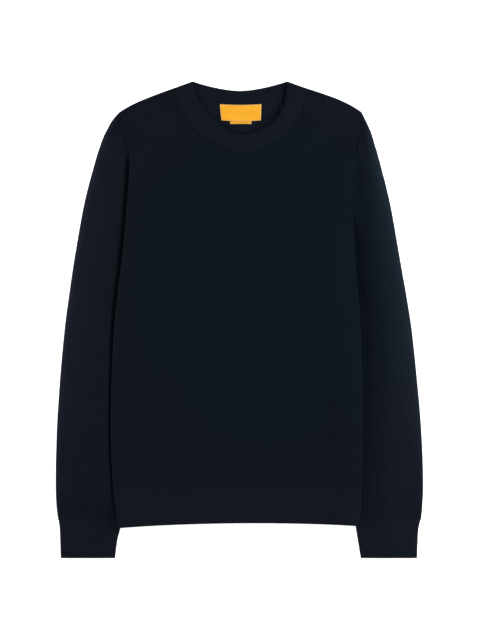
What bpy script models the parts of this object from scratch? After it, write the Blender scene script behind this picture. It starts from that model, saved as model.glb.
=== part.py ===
# Ribbed crew-neck sweater, laid flat on its back with the sleeves drawn down beside the body.
# +X is the wearer's left, +Y the neck, +Z up from the surface that it lies on.
# Tables and sizes are in millimetres; objects are made in metres.

import math
from collections import namedtuple

import bpy

MM = 0.001

# Knit: a layer is a plain wall with upright ribs on the side that faces up.
WALL = 2.0
RIB_HEIGHT = 1.0
RIB_PITCH = 4.2
SEAM_GAP = 0.3              # between pieces at a seam, and between layers that lie on each other
ROUND_WIDTH = 3.5           # how far in from a folded edge the knit has reached its full height
SEWN_ROUND = 1.4            # the same at the armhole seam
EDGE_LIP = 0.15            # share of the wall left standing at a panel's thin side edge
FOLD_STEP = 0.6             # first column in from a fold
RIB_END_BEND = 0.1          # most that a crest may lie off its neighbours' line to be closed by itself
LAYER_MID = WALL + SEAM_GAP / 2
FRONT_UNDER = WALL + SEAM_GAP
STACK = 2 * WALL + SEAM_GAP + RIB_HEIGHT

# Body and sleeves, as half widths from the centre line at levels down the garment.
# tuck is how far the sleeve runs in under the edge of the body; above it they are sewn side by side.
Level = namedtuple("Level", "y body sleeve tuck")
RIGHT_LEVELS = (
    Level(326, 188.3, 188.6, -0.3),      # shoulder point
    Level(314, 189.2, 199.1, -0.3),
    Level(302, 188.0, 206.1, -0.3),
    Level(290, 184.3, 212.3, -0.3),
    Level(276, 178.7, 217.9, -0.3),
    Level(260, 175.0, 223.2, -0.3),      # the body edge starts to lie on the sleeve
    Level(246, 174.2, 227.3, 2.5),
    Level(205, 176.5, 238.4, 6.5),
    Level(175, 178.6, 245.3, 9.5),
    Level(133, 182.3, 252.9, 16.0),
    Level(86, 187.9, 260.8, 29.0),       # underarm
    Level(31, 194.8, 268.7, 31.0),
    Level(-16, 199.5, 274.8, 30.0),
    Level(-95, 203.2, 281.9, 26.0),
    Level(-173, 204.1, 286.8, 20.0),     # widest part of the body
    Level(-252, 200.7, 288.6, 13.0),
    Level(-291, 195.6, 287.5, 9.0),
    Level(-314, 191.7, 284.6, 6.0),      # cuff seam
    Level(-328, 189.8, 282.4, 3.1),      # foot of the hem
)
LEFT_LEVELS = (
    Level(326, 191.7, 192.0, -0.3),
    Level(314, 193.0, 197.9, -0.3),
    Level(302, 192.8, 203.6, -0.3),
    Level(290, 191.2, 208.3, -0.3),
    Level(276, 188.2, 212.4, -0.3),
    Level(260, 184.7, 217.2, -0.3),
    Level(246, 182.3, 221.1, 2.5),
    Level(205, 179.0, 231.6, 6.0),
    Level(175, 177.8, 238.3, 9.0),
    Level(133, 178.7, 245.8, 15.5),
    Level(86, 182.1, 253.9, 29.0),
    Level(31, 186.2, 263.6, 29.0),
    Level(-16, 189.8, 270.7, 26.0),
    Level(-95, 192.2, 279.1, 20.0),
    Level(-173, 192.4, 285.6, 14.0),
    Level(-252, 192.1, 288.6, 9.0),
    Level(-291, 190.9, 287.4, 8.0),
    Level(-314, 187.8, 285.0, 6.6),
    Level(-328, 183.1, 281.3, 2.0),
)
SIDE_LEVELS = {-1: RIGHT_LEVELS, 1: LEFT_LEVELS}
SHOULDER_Y = 326.0
UNDERARM_Y = 86.0
CUFF_SEAM_Y = -314.0

# Where the body edge climbs onto the sleeve
CLIMB_START_Y = 294.0
CLIMB_FULL_Y = 262.0
CLIMB_HEIGHT = STACK + 0.5
CLIMB_WIDTH = 55.0          # soft slope of the body down from the sleeve beneath it
CLIMB_MARGIN = 1.0

# Shoulders: a straight slope that rounds off towards the shoulder point
SHOULDER_SLOPE = {-1: 0.36, 1: 0.325}
SHOULDER_ROUNDING = 4

# Neck: superellipse curves hang from the high points of the shoulders
NECK_X = 0.8
NECK_TOP_Y = 374.3
NECK_HALF = 74.3
NECK_DROP = 82.4
NECK_POWER = {-1: 1.6, 1: 2.35}
NECK_SEAM_TOP_Y = 364.4
NECK_SEAM_HALF = 101.7
NECK_SEAM_DROP = 100.6
NECK_SEAM_POWER = {-1: 1.72, 1: 2.0}
NECK_CORNER = 5.0           # within this of its ends the neck seam runs steeply up
BACK_NECK_DIP = 15.0
BACK_NECK_POWER = 1.65
BACK_SEAM_DIP = 29.8
BACK_SEAM_POWER = 2.2

# Neckband
BAND_WALL = 2.4
BAND_RIB = 0.8
BAND_MID = BAND_WALL + SEAM_GAP / 2
BAND_RISE = {-1: 2.6, 1: 3.8}       # how far the free front edge stands up off the layer below
BAND_RISE_REACH = 60.0              # run along the band over which that rise builds up
BAND_EDGE_ROUND = 2.4
BAND_EDGE_LIP = 0.3                 # share of the band's wall left standing at its free edge
BAND_LENGTH = 28.0                  # from the seam to the free edge
BAND_STEPS = (0.0, 0.5, 0.93, 1.0)  # places of points from the seam to the free edge
BAND_HIDDEN = 26.0                  # stretch of the back half that the front half covers

# Hem
HEM_SEAM_Y = -267.0
HEM_FOOT_Y = -319.7
HEM_FOOT_SAG = 7.4
HEM_SAG_X = 25.0
HEM_SAG_HALF = 215.0

# Cuffs: half widths from the centre line to the outer and the inner fold
CuffLevel = namedtuple("CuffLevel", "y outer inner")
RIGHT_CUFF = (
    CuffLevel(-314, 284.0, 185.9),
    CuffLevel(-327, 282.3, 187.0),
    CuffLevel(-345, 281.5, 191.4),
    CuffLevel(-375, 280.6, 195.4),
)
LEFT_CUFF = (
    CuffLevel(-314, 284.4, 181.0),
    CuffLevel(-327, 281.4, 182.9),
    CuffLevel(-345, 280.1, 185.7),
    CuffLevel(-375, 278.8, 190.7),
)
CUFF_LEVELS = {-1: RIGHT_CUFF, 1: LEFT_CUFF}
CUFF_FOOT_Y = -374.3
SLEEVE_CROWN = 2.4          # how far the sleeve's upper layer stands off in the middle
SLEEVE_CROWN_SPAN = 50.0
CUFF_CROWN = 1.4

# Label sewn in at the back neck seam, and the size tab under its lower edge
LABEL_LEFT_X = -30.3
LABEL_RIGHT_X = 34.8
LABEL_TOP_Y = 339.0
LABEL_HEIGHT = 26.6
LABEL_BOW = 1.2             # how far its middle hangs below its corners
LABEL_TAPER = 2.0
LABEL_UNDER_Z = 3.5
LABEL_THICK = 0.8
TAB_LEFT_X = -14.6
TAB_RIGHT_X = 18.8
TAB_FOOT_Y = 306.6
TAB_TUCK = 5.0
TAB_THICK = 0.6

# Rows of points up the pieces, closer where an edge or a slope bends
EDGE_ZONE = 5.0             # close to a side edge
CLIMB_ZONE = 92.0           # over the sleeve and the slope beside it
MIDDLE_ROWS = (-200, -95, 31, 200, 246, 294)
CLIMB_ROWS = (-200, -95, 31, 130, 200, 246, 270, 294)
EDGE_ROWS = CLIMB_ROWS + (-150, -30, 80, 165, 225, 254, 262, 278, 286, 302, 308, 314, 320)
PLAIN_STEPS = (1, 4, 16)    # rib lines between the columns of a plain face, by these zones
SLEEVE_ROWS = (-291, -252, -180, -95, 31, 133, 205, 260)
SLEEVE_TOP_ROWS = SLEEVE_ROWS + (276, 290, 302, 314, 320)
ARMHOLE_ROWS = (320, 314, 308, 302, 294, 284, 270, 246, 200, 140)
NECK_STEPS = 30

SHARP_ANGLE = 30.0         # degrees between faces that shade as an edge, so that each rib shows
KNIT_COLOUR = (0.0095, 0.0130, 0.0200, 1.0)
RIM_COLOUR = (0.0110, 0.0150, 0.0225, 1.0)
LABEL_COLOUR = (0.88, 0.42, 0.055, 1.0)
TAB_COLOUR = (0.84, 0.38, 0.05, 1.0)


# ---- curves -------------------------------------------------------------------------------

def smooth_step(t):
    t = min(max(t, 0.0), 1.0)
    return t * t * (3 - 2 * t)


def round_over(distance, width=ROUND_WIDTH):
    """Height share of a rounded edge at a distance in from it: 0 at the edge, 1 past the round."""
    t = min(max(distance / width, 0.0), 1.0)
    return math.sqrt(1 - (1 - t) ** 2)


def along(levels, field, y):
    """A table column at height y, on a smooth curve through its rows, which run down the garment."""
    ys = [row.y for row in levels]
    values = [getattr(row, field) for row in levels]
    y = min(max(y, ys[-1]), ys[0])
    k = next(i for i in range(len(ys) - 1) if y >= ys[i + 1])

    def slope(i):
        low, high = max(i - 1, 0), min(i + 1, len(ys) - 1)
        return (values[high] - values[low]) / (ys[high] - ys[low])

    span = ys[k + 1] - ys[k]
    t = (y - ys[k]) / span
    return ((1 + 2 * t) * (1 - t) ** 2 * values[k] + t * (1 - t) ** 2 * span * slope(k)
            + t * t * (3 - 2 * t) * values[k + 1] + t * t * (t - 1) * span * slope(k + 1))


def side_of(x):
    return -1 if x < 0 else 1


def solve(function, low, high):
    """The y between low and high where a falling function crosses zero."""
    for _ in range(50):
        middle = (low + high) / 2
        if function(middle) > 0:
            low = middle
        else:
            high = middle
    return (low + high) / 2


# ---- plan of the body ---------------------------------------------------------------------

def body_x(u, y):
    """Place across the body: u is 0 at the wearer's right edge and 1 at the left edge."""
    right = along(RIGHT_LEVELS, "body", y)
    left = along(LEFT_LEVELS, "body", y)
    return -right + u * (right + left)


def shoulder_line(x):
    """Top of the body outside the neckband."""
    side = side_of(x)
    length = SIDE_LEVELS[side][0].body - NECK_SEAM_HALF - side * NECK_X
    run = max(abs(x - NECK_X) - NECK_SEAM_HALF, 0.0)
    slope = SHOULDER_SLOPE[side]
    rounding = NECK_SEAM_TOP_Y - SHOULDER_Y - slope * length
    return NECK_SEAM_TOP_Y - slope * run - rounding * (run / length) ** SHOULDER_ROUNDING


def front_top(x):
    """Top edge of the front: the shoulder, or the neck seam inside it."""
    offset = x - NECK_X
    half = NECK_SEAM_HALF + SEAM_GAP
    if abs(offset) >= half:
        return shoulder_line(x)
    power = NECK_SEAM_POWER[side_of(offset)]
    share = (1 - (abs(offset) / half) ** power) ** (1 / power)
    return NECK_SEAM_TOP_Y - (NECK_SEAM_DROP + SEAM_GAP) * share


def back_top(x):
    """Top edge of the back: the shoulder, or the neck seam inside it."""
    offset = abs(x - NECK_X)
    half = NECK_SEAM_HALF + SEAM_GAP
    if offset >= half:
        return shoulder_line(x)
    share = 1 - (offset / half) ** BACK_SEAM_POWER
    return NECK_SEAM_TOP_Y - 1.6 * SEAM_GAP - BACK_SEAM_DIP * share


def hem_foot(x):
    return HEM_FOOT_Y - HEM_FOOT_SAG * ((x - HEM_SAG_X) / HEM_SAG_HALF) ** 2


def climb(x, y):
    """How far the body is lifted off the surface, over the sleeve that lies under its edge."""
    levels = SIDE_LEVELS[side_of(x)]
    covered = along(levels, "body", y) - max(along(levels, "tuck", y), 0.0)
    start = covered - CLIMB_MARGIN - CLIMB_WIDTH
    across = smooth_step((abs(x) - start) / CLIMB_WIDTH)
    down = smooth_step((CLIMB_START_Y - y) / (CLIMB_START_Y - CLIMB_FULL_Y))
    return CLIMB_HEIGHT * across * down


# ---- meshes -------------------------------------------------------------------------------

def bend(before, point, after):
    """How far a point lies off the line between its neighbours, seen from above."""
    run = (after[0] - before[0], after[1] - before[1])
    offset = (point[0] - before[0], point[1] - before[1])
    return abs(run[0] * offset[1] - run[1] * offset[0]) / math.hypot(*run)


class Skin:
    """Points and triangles of one piece, made of strips between neighbouring lines of points."""

    def __init__(self):
        self.points = []
        self.triangles = []

    def add(self, points):
        start = len(self.points)
        self.points.extend(points)
        return list(range(start, len(self.points)))

    def strip(self, line_a, places_a, line_b, places_b, flip=False):
        """Triangles between two lines whose points stand at rising places."""
        i, j = 0, 0
        while i < len(line_a) - 1 or j < len(line_b) - 1:
            step_a = j == len(line_b) - 1 or (
                i < len(line_a) - 1 and places_a[i + 1] <= places_b[j + 1])
            if step_a:
                corners = (line_a[i], line_b[j], line_a[i + 1])
                i += 1
            else:
                corners = (line_a[i], line_b[j], line_b[j + 1])
                j += 1
            self.triangles.append(corners[::-1] if flip else corners)

    def surface(self, columns, flip=False):
        """A sheet over columns that stand side by side; gives back their point numbers."""
        numbers = [self.add(column.points) for column in columns]
        for k in range(len(columns) - 1):
            self.strip(numbers[k], columns[k].ys, numbers[k + 1], columns[k + 1].ys, flip)
        return numbers

    def rib_ends(self, numbers, columns, end, flip):
        """Closes the end of each rib with a triangle; gives back the line that is left, and its places."""
        line, places = [], []
        for k, column in enumerate(columns):
            after = (k + 1) % len(columns)
            corners = [numbers[k - 1][end], numbers[k][end], numbers[after][end]]
            crest = column.rib > max(columns[k - 1].rib, columns[after].rib)
            if crest and bend(*(self.points[n] for n in corners)) < RIB_END_BEND:
                self.triangles.append(tuple(corners[::-1] if flip else corners))
            else:
                line.append(numbers[k][end])
                places.append(column.u)
        return line, places


class Column:
    """A line of points up a panel, at place u across it; rib is 1 on the crest of a rib."""

    def __init__(self, u, points, ys=None, rib=0):
        self.u = u
        self.points = points
        self.ys = ys or [point[1] for point in points]
        self.rib = rib


def make_object(name, skin, colour, roughness):
    mesh = bpy.data.meshes.new(name)
    mesh.from_pydata([[value * MM for value in point] for point in skin.points], [], skin.triangles)
    mesh.validate()
    mesh.shade_smooth()
    mesh.set_sharp_from_angle(angle=math.radians(SHARP_ANGLE))
    material = bpy.data.materials.new(name + "_knit")
    material.use_nodes = True
    shader = material.node_tree.nodes["Principled BSDF"]
    shader.inputs["Base Color"].default_value = colour
    shader.inputs["Roughness"].default_value = roughness
    shader.inputs["Metallic"].default_value = 0.0
    mesh.materials.append(material)
    piece = bpy.data.objects.new(name, mesh)
    bpy.context.scene.collection.objects.link(piece)
    return piece


def sheet(upper, lower):
    """Closed skin of a flat panel from its upper and its lower columns, from -X to +X."""
    skin = Skin()
    top = skin.surface(upper)
    bottom = skin.surface(lower, flip=True)
    skin.strip(bottom[0], lower[0].ys, top[0], upper[0].ys)
    skin.strip(top[-1], upper[-1].ys, bottom[-1], lower[-1].ys)
    for end, flip in ((0, True), (-1, False)):
        line, places = skin.rib_ends(top, upper, end, flip)
        skin.strip([numbers[end] for numbers in bottom], [column.u for column in lower],
                   line, places, flip)
    return skin


def tube(outer_upper, outer_lower, inner_upper, inner_lower):
    """Closed skin of a flattened open tube.  Every list runs from the -X fold to the +X fold,
    and an upper and a lower list share the columns at their two folds."""
    skin = Skin()
    rings = []
    for upper, lower, inside in ((outer_upper, outer_lower, False), (inner_upper, inner_lower, True)):
        back = [Column(2 - c.u, c.points, c.ys, c.rib) for c in reversed(lower[1:-1])]
        loop = list(upper) + back
        numbers = [skin.add(column.points) for column in loop]
        for k in range(len(loop)):
            after = (k + 1) % len(loop)
            skin.strip(numbers[k], loop[k].ys, numbers[after], loop[after].ys, inside)
        ends = []
        for end, flip in ((0, not inside), (-1, inside)):
            line, places = skin.rib_ends(numbers, loop, end, flip)
            ends.append((line + line[:1], places + [2.0]))
        rings.append(ends)
    (outer_low, outer_high), (inner_low, inner_high) = rings
    skin.strip(*outer_low, *inner_low)
    skin.strip(*inner_high, *outer_high)
    return skin


def rib_places(ribs, width):
    """Places across a ribbed width: valley and crest in turn, and one more close to each fold."""
    places = [(k / (2 * ribs), k % 2) for k in range(2 * ribs + 1)]
    step = FOLD_STEP / width
    return places[:1] + [(step, 0)] + places[1:-1] + [(1 - step, 0)] + places[-1:]


def plain_places(inside, inset, width):
    """The places of a plain face between two folds, with its folds and two more close to each."""
    start = inset / width
    near = [start, start + FOLD_STEP / width, start + 0.6 * ROUND_WIDTH / width]
    far = near[-1] + 1 / width
    return near + [q for q in inside if far < q < 1 - far] + [1 - q for q in reversed(near)]


def between(rows, low, high, spare=3.0):
    """The rows that lie clear of both ends, with the ends."""
    return [low] + sorted(row for row in rows if low + spare < row < high - spare) + [high]


# ---- front, back and hem ------------------------------------------------------------------

BODY_WIDTH = max(right.body + left.body for right, left in zip(RIGHT_LEVELS, LEFT_LEVELS))
BODY_RIBS = round(BODY_WIDTH / RIB_PITCH)


def body_rows(u, low, high, shoulder):
    edge = min(u, 1 - u) * BODY_WIDTH
    rows = EDGE_ROWS if edge < EDGE_ZONE else CLIMB_ROWS if edge < CLIMB_ZONE else MIDDLE_ROWS
    if not shoulder:
        return between(rows, low, high)
    return between(rows, low, high - ROUND_WIDTH)[:-1] + [high - ROUND_WIDTH, high - FOLD_STEP, high]


def side_round(y):
    """Width of the round along the body's side edge, tight where the sleeve is sewn to it."""
    sewn = smooth_step((y - CLIMB_FULL_Y) / (CLIMB_START_Y - CLIMB_FULL_Y))
    return ROUND_WIDTH + (SEWN_ROUND - ROUND_WIDTH) * sewn


def body_column(u, low_line, top_line, height, rib=0):
    """One column of the body between two edge lines; height(x, y, rounding) gives its z."""
    top = solve(lambda y: top_line(body_x(u, y)) - y, HEM_SEAM_Y - 1, NECK_TOP_Y)
    low = low_line(body_x(u, HEM_FOOT_Y))
    shoulder = top > HEM_SEAM_Y and abs(body_x(u, top) - NECK_X) > NECK_SEAM_HALF + SEAM_GAP
    points = []
    for y in body_rows(u, low, top, shoulder):
        x = body_x(u, y)
        width = body_x(1, y) - body_x(0, y)
        rounding = round_over(min(u, 1 - u) * width, side_round(y))
        if shoulder:
            rounding = min(rounding, round_over(top - y))
        points.append((x, y, height(x, y, rounding)))
    return Column(u, points, rib=rib)


def front_upper(rib):
    def height(x, y, rounding):
        share = EDGE_LIP + (1 - EDGE_LIP) * rounding
        return climb(x, y) + FRONT_UNDER + (WALL + rib * RIB_HEIGHT) * share
    return height


def front_lower(x, y, rounding):
    return climb(x, y) + FRONT_UNDER


def back_upper(x, y, rounding):
    return climb(x, y) + WALL


def back_lower(x, y, rounding):
    return climb(x, y) + WALL * (1 - EDGE_LIP) * (1 - rounding)


def neck_places():
    """Places across the body that stand evenly along the round of the neck seam."""
    half = NECK_SEAM_HALF + SEAM_GAP
    right, left = RIGHT_LEVELS[0].body, LEFT_LEVELS[0].body
    xs = [NECK_X - half * math.cos(math.pi * k / NECK_STEPS) for k in range(NECK_STEPS + 1)]
    return [(x + right) / (right + left) for x in xs]


def rib_share(u):
    """Height share of the ribs at a place between their lines."""
    return 1 - abs(u * 2 * BODY_RIBS % 2 - 1)


def ribbed_places():
    """Rib lines across the body, and the neck's places where its seam runs steeply up."""
    ribs = rib_places(BODY_RIBS, BODY_WIDTH)
    steep = NECK_CORNER / BODY_WIDTH
    neck = neck_places()
    added = [(u, rib_share(u)) for u in neck if min(abs(u - neck[0]), abs(u - neck[-1])) < steep]
    kept = [place for place in ribs
            if all(abs(place[0] - u) * BODY_WIDTH > FOLD_STEP for u, _ in added)]
    return sorted(kept + added)


def plain_body_places(at_neck):
    """Places of the plain faces: rib lines at the edges, every second rib, and the neck's places."""
    neck = neck_places() if at_neck else []
    places = list(neck)
    for u, _ in rib_places(BODY_RIBS, BODY_WIDTH):
        edge = min(u, 1 - u) * BODY_WIDTH
        step = PLAIN_STEPS[0 if edge < EDGE_ZONE else 1 if edge < CLIMB_ZONE else 2]
        beside_neck = neck and neck[0] - 0.5 / BODY_RIBS < u < neck[-1] + 0.5 / BODY_RIBS
        if round(u * 2 * BODY_RIBS) % step == 0 and not beside_neck:
            places.append(u)
    return sorted(places)


def body_layer(name, low_line, top_line, is_front):
    at_neck = top_line in (front_top, back_top)
    upper_places = ribbed_places() if at_neck else rib_places(BODY_RIBS, BODY_WIDTH)
    plain = plain_body_places(at_neck)
    if is_front:
        upper = [body_column(u, low_line, top_line, front_upper(rib), rib) for u, rib in upper_places]
        lower = [body_column(u, low_line, top_line, front_lower) for u in plain]
    else:
        upper = [body_column(u, low_line, top_line, back_upper) for u in plain]
        lower = [body_column(u, low_line, top_line, back_lower) for u in plain]
    return make_object(name, sheet(upper, lower), KNIT_COLOUR, 0.9)


def make_body():
    def seam_top(x):
        return HEM_SEAM_Y + SEAM_GAP / 2

    def seam_foot(x):
        return HEM_SEAM_Y - SEAM_GAP / 2

    body_layer("front", seam_top, front_top, True)
    body_layer("back", seam_top, back_top, False)
    body_layer("hem_front", hem_foot, seam_foot, True)
    body_layer("hem_back", hem_foot, seam_foot, False)


# ---- sleeves and cuffs --------------------------------------------------------------------

def flat_tube(name, side, ribs, width, fold_x, rows_of, crown, plain, colour):
    """A flattened ribbed tube.  fold_x(q, y) is the half width at place q, 0 at the outer fold and
    1 at the inner; rows_of(q) gives the heights of a column; crown(x, y) is its extra height;
    plain are the places of its plain faces between the folds."""

    def columns(places, height, inset):
        made = []
        for q, rib in places:
            points = []
            for y in rows_of(q):
                span = abs(fold_x(0, y) - fold_x(1, y))
                distance = min(q, 1 - q) * span - inset
                x = fold_x(q, y)
                points.append((side * x, y, height(x, y, rib, distance)))
            made.append(Column(q if side < 0 else 1 - q, points, rib=rib))
        return made if side < 0 else made[::-1]

    def outer_top(x, y, rib, distance):
        full = WALL + SEAM_GAP / 2 + rib * RIB_HEIGHT + crown(x, y)
        return LAYER_MID + full * round_over(distance)

    def outer_foot(x, y, rib, distance):
        return LAYER_MID * (1 - round_over(distance))

    def inner_top(x, y, rib, distance):
        return LAYER_MID + (SEAM_GAP / 2 + crown(x, y)) * round_over(distance)

    def inner_foot(x, y, rib, distance):
        return LAYER_MID - SEAM_GAP / 2 * round_over(distance)

    inset = WALL + 0.2
    outer = [(q, 0) for q in plain_places(plain, 0.0, width)]
    inner = [(q, 0) for q in plain_places(plain, inset, width)]
    skin = tube(columns(rib_places(ribs, width), outer_top, 0), columns(outer, outer_foot, 0),
                columns(inner, inner_top, inset), columns(inner, inner_foot, inset))
    return make_object(name, skin, colour, 0.9)


def make_sleeve(side, name):
    levels = SIDE_LEVELS[side]

    def inner_x(y):
        return along(levels, "body", y) - along(levels, "tuck", y)

    arm_width = along(levels, "sleeve", UNDERARM_Y) - inner_x(UNDERARM_Y)

    def fold_x(q, y):
        outer = along(levels, "sleeve", y)
        width = outer - inner_x(y) if y < UNDERARM_Y else arm_width
        return outer - q * width

    def rows_of(q):
        top = solve(lambda y: fold_x(q, y) - inner_x(y), UNDERARM_Y, SHOULDER_Y)
        rows = SLEEVE_TOP_ROWS if q < 0.3 else SLEEVE_ROWS
        return between(rows, CUFF_SEAM_Y + SEAM_GAP / 2, top)

    def crown(x, y):
        shown = along(levels, "sleeve", y) - along(levels, "body", y)
        place = min(max((along(levels, "sleeve", y) - x) / max(shown, 1.0), 0.0), 1.0)
        return SLEEVE_CROWN * math.sin(math.pi * place) * min(shown / SLEEVE_CROWN_SPAN, 1.0)

    ribs = round(arm_width / RIB_PITCH)
    plain = [(along(levels, "sleeve", y) - inner_x(y)) / arm_width for y in ARMHOLE_ROWS]
    return flat_tube(name, side, ribs, arm_width, fold_x, rows_of, crown, plain, KNIT_COLOUR)


def make_cuff(side, name):
    levels = CUFF_LEVELS[side]

    def fold_x(q, y):
        outer = along(levels, "outer", y)
        return outer - q * (outer - along(levels, "inner", y))

    def rows_of(q):
        return between((-327, -345), CUFF_FOOT_Y, CUFF_SEAM_Y - SEAM_GAP / 2)

    def crown(x, y):
        place = (fold_x(0, y) - x) / (fold_x(0, y) - fold_x(1, y))
        return CUFF_CROWN * math.sin(math.pi * min(max(place, 0.0), 1.0)) ** 2

    width = fold_x(0, CUFF_SEAM_Y) - fold_x(1, CUFF_SEAM_Y)
    ribs = round(width / RIB_PITCH)
    plain = [0.15, 0.3, 0.5, 0.7, 0.85]
    return flat_tube(name, side, ribs, width, fold_x, rows_of, crown, plain, RIM_COLOUR)


# ---- neckband -----------------------------------------------------------------------------

def neck_curve(angle, half, drop, top_y, power):
    """Front neck curve: angle 0 is its -X end, pi / 2 its lowest point and pi its +X end."""
    cosine = math.cos(angle)
    exponent = 2 / power[-1 if cosine > 0 else 1]
    x = -math.copysign(abs(cosine) ** exponent, cosine) * half
    return NECK_X + x, top_y - drop * max(math.sin(angle), 0.0) ** exponent


def back_curve(angle, half, dip, top_y, power):
    """Back neck curve over the same angles; it dips by its middle."""
    across = -math.cos(angle)
    return NECK_X + across * half, top_y - dip * (1 - abs(across) ** power)


def front_lines(angle):
    """Seam point and free point of the front half at an angle."""
    return (neck_curve(angle, NECK_SEAM_HALF, NECK_SEAM_DROP, NECK_SEAM_TOP_Y, NECK_SEAM_POWER),
            neck_curve(angle, NECK_HALF, NECK_DROP, NECK_TOP_Y, NECK_POWER))


def back_lines(angle):
    """Seam point and free point of the back half at an angle."""
    return (back_curve(angle, NECK_SEAM_HALF, BACK_SEAM_DIP, NECK_SEAM_TOP_Y, BACK_SEAM_POWER),
            back_curve(angle, NECK_HALF, BACK_NECK_DIP, NECK_TOP_Y, BACK_NECK_POWER))


class Run:
    """Even steps along the middle of a half of the band."""

    SAMPLES = 600

    def __init__(self, lines):
        self.lines = lines
        self.angles = [math.pi * k / self.SAMPLES for k in range(self.SAMPLES + 1)]
        middles = []
        for angle in self.angles:
            (ax, ay), (bx, by) = lines(angle)
            middles.append(((ax + bx) / 2, (ay + by) / 2))
        self.lengths = [0.0]
        for before, after in zip(middles, middles[1:]):
            self.lengths.append(self.lengths[-1] + math.dist(before, after))
        self.length = self.lengths[-1]

    def angle_at(self, distance):
        k = next((i for i in range(self.SAMPLES) if self.lengths[i + 1] >= distance),
                 self.SAMPLES - 1)
        step = self.lengths[k + 1] - self.lengths[k]
        share = (distance - self.lengths[k]) / step if step else 0.0
        return self.angles[k] + min(max(share, 0.0), 1.0) * (self.angles[k + 1] - self.angles[k])


def make_neckband():
    front, back = Run(front_lines), Run(back_lines)

    def columns(run, places, height, inset):
        """Columns across one half of the band; height(place, distance, across, rib) is its z."""
        made = []
        for place, rib in places:
            distance = inset + place * (run.length - 2 * inset)
            angle = run.angle_at(distance)
            (ax, ay), (bx, by) = run.lines(angle)
            points = []
            for across in BAND_STEPS:
                z = height(place, distance, across, rib, min(distance, run.length - distance) - inset)
                points.append((ax + (bx - ax) * across, ay + (by - ay) * across, z))
            made.append(Column(place, points, list(BAND_STEPS), rib))
        return made

    def rise(place, distance, across):
        """Lift of the front half towards its free edge, none at the folds."""
        high = BAND_RISE[-1] + (BAND_RISE[1] - BAND_RISE[-1]) * smooth_step(place)
        from_fold = min(distance, front.length - distance)
        return high * smooth_step(from_fold / BAND_RISE_REACH) * across ** 1.5

    def edge(across):
        return max(round_over((1 - across) * BAND_LENGTH, BAND_EDGE_ROUND), BAND_EDGE_LIP)

    def front_top_z(place, distance, across, rib, fold):
        full = (BAND_WALL + SEAM_GAP) / 2 + (BAND_WALL / 2 + rib * BAND_RIB) * edge(across)
        return BAND_MID + rise(place, distance, across) + full * round_over(fold)

    def front_foot_z(place, distance, across, rib, fold):
        low = SEAM_GAP / 2 + BAND_WALL / 2 * (1 - edge(across))
        return BAND_MID + rise(place, distance, across) + low * round_over(fold)

    def back_top_z(place, distance, across, rib, fold):
        shown = smooth_step((min(distance, back.length - distance) - BAND_HIDDEN) / BAND_HIDDEN)
        full = -SEAM_GAP / 2 + shown * rib * BAND_RIB - BAND_WALL / 2 * (1 - edge(across))
        return BAND_MID + full * round_over(fold)

    def back_foot_z(place, distance, across, rib, fold):
        return BAND_MID - (BAND_MID - BAND_WALL / 2 * (1 - edge(across))) * round_over(fold)

    def places_of(run, step_ribs):
        ribs = round(run.length / RIB_PITCH)
        near = [FOLD_STEP / run.length, 2.0 / run.length]
        inside = [(k / (2 * ribs), k % 2) for k in range(1, 2 * ribs, step_ribs)]
        inside = [(place, rib if step_ribs == 1 else 0) for place, rib in inside
                  if near[1] < place < 1 - near[1]]
        return ([(0.0, 0)] + [(place, 0) for place in near] + inside
                + [(1 - place, 0) for place in reversed(near)] + [(1.0, 0)])

    inside_front = columns(front, places_of(front, 4), front_foot_z, BAND_WALL)
    inside_back = columns(back, places_of(back, 1), back_top_z, BAND_WALL)
    inside_front[0], inside_front[-1] = inside_back[0], inside_back[-1]
    skin = tube(columns(front, places_of(front, 1), front_top_z, 0.0),
                columns(back, places_of(back, 4), back_foot_z, 0.0), inside_front, inside_back)
    return make_object("neckband", skin, RIM_COLOUR, 0.9)


# ---- label --------------------------------------------------------------------------------

def plate(name, corner_x, width_at, top_at, foot_at, under_z, thick, colour):
    """A thin woven plate; width_at(v) narrows it and top_at, foot_at shape its ends."""
    left, right = corner_x
    centre, half = (left + right) / 2, (right - left) / 2
    steps = 8
    layers = []
    for z in (under_z + thick, under_z):
        columns = []
        for k in range(steps + 1):
            u = k / steps
            points = []
            for v in (0.0, 0.5, 1.0):
                x = centre + (2 * u - 1) * half * width_at(v)
                y = foot_at(u) + v * (top_at(u) - foot_at(u))
                points.append((x, y, z))
            columns.append(Column(u, points, [0.0, 0.5, 1.0]))
        layers.append(columns)
    return make_object(name, sheet(*layers), colour, 0.75)


def make_label():
    def bow(u):
        return LABEL_BOW * (1 - (2 * u - 1) ** 2)

    width = LABEL_RIGHT_X - LABEL_LEFT_X
    plate("neck_label", (LABEL_LEFT_X, LABEL_RIGHT_X),
          lambda v: 1 - LABEL_TAPER * (1 - v) / width,
          lambda u: LABEL_TOP_Y - bow(u), lambda u: LABEL_TOP_Y - LABEL_HEIGHT - bow(u),
          LABEL_UNDER_Z, LABEL_THICK, LABEL_COLOUR)
    tab_top = LABEL_TOP_Y - LABEL_HEIGHT - LABEL_BOW + TAB_TUCK
    plate("size_tab", (TAB_LEFT_X, TAB_RIGHT_X), lambda v: 1.0, lambda u: tab_top,
          lambda u: TAB_FOOT_Y, WALL + SEAM_GAP, TAB_THICK, TAB_COLOUR)


# ---- sweater ------------------------------------------------------------------------------

for old in list(bpy.data.objects):
    bpy.data.objects.remove(old, do_unlink=True)

make_body()
make_sleeve(-1, "sleeve_right")
make_sleeve(1, "sleeve_left")
make_cuff(-1, "cuff_right")
make_cuff(1, "cuff_left")
make_neckband()
make_label()
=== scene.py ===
# Navy rib-knit crew-neck sweater, laid flat on its back. Shapes are worked out in millimetres, and in
# tables by side -1 is the wearer's right (-X) and 1 the left.

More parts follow.
